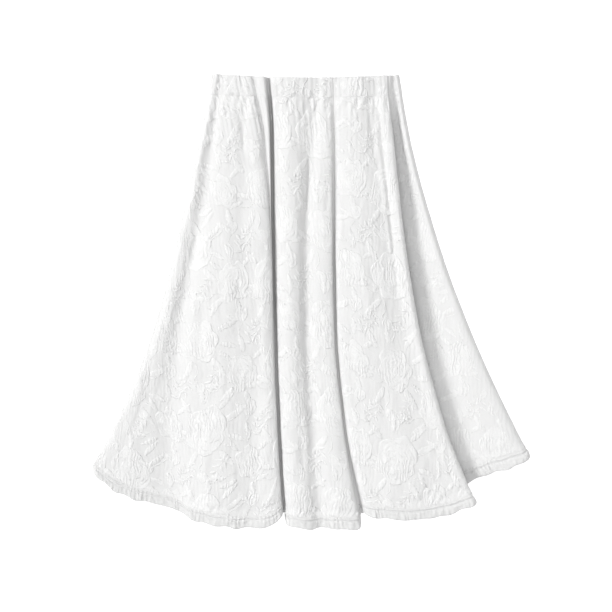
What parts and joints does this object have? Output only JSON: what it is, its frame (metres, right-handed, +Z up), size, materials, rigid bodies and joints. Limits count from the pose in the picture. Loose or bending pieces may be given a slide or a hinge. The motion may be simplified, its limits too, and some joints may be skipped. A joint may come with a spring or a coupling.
{
  "type": "lace skirt",
  "caption": "Pull-on flared midi skirt of white floral lace with a gathered elastic waist and a narrow hem band, laid flat with its front up in soft flutes.",
  "frame": {"origin": "on the table, under the middle of the skirt's box as it lies", "axes": "+X across the skirt to the viewer's right, +Y from the hem to the waist, +Z up from the table, out of its front"},
  "size_m": [0.6805, 0.7046, 0.0318],
  "materials": {
    "lace_cloth": "matte white lace with raised flowers",
    "gathered_cloth": "matte white, finely gathered",
    "hem_cloth": "matte white, soft and padded"
  },
  "bodies": {
    "root": {"front_panel": "lace_cloth", "back_panel": "lace_cloth", "waist_casing": "gathered_cloth", "hem_front": "hem_cloth", "hem_back": "hem_cloth"}
  },
  "joints": []
}
